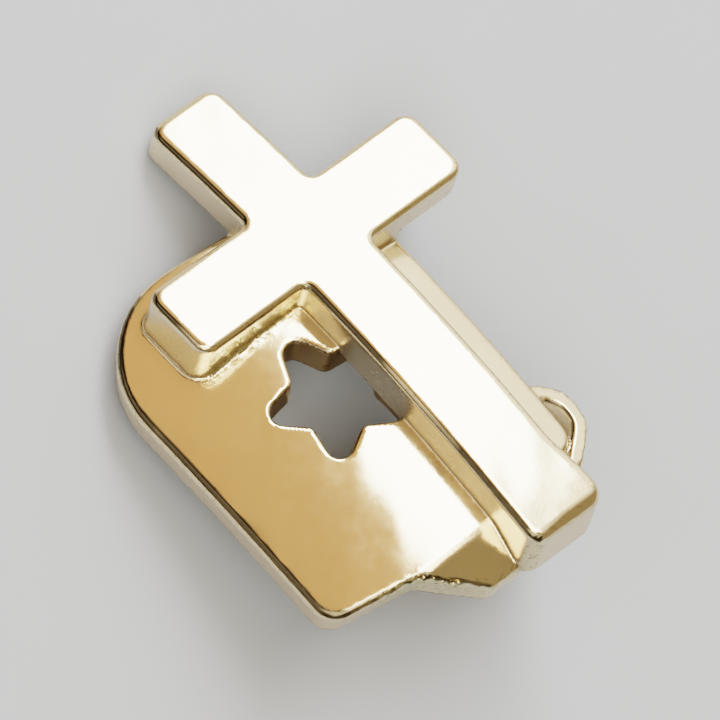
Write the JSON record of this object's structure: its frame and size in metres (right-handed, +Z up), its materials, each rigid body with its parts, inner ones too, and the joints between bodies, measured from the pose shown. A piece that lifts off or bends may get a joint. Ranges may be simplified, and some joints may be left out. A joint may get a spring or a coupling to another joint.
{
  "type": "single-tooth grill cap",
  "caption": "Clip-on metal cap for one upper front tooth, with a convex plate pierced by a star, a raised Latin cross and a clasp cup behind the biting edge.",
  "frame": {"origin": "centre of the footprint's box on the surface that the cap lies on", "axes": "+Z up, away from the surface; +Y from the biting edge to the head of the cross, towards the gum; +X to the right of the cross as seen from the front"},
  "size_m": [0.011, 0.015, 0.0058],
  "materials": {
    "polished_gold": "polished gold-coloured plating on cast brass"
  },
  "bodies": {
    "root": {"tooth_cap": "polished_gold"}
  },
  "joints": []
}
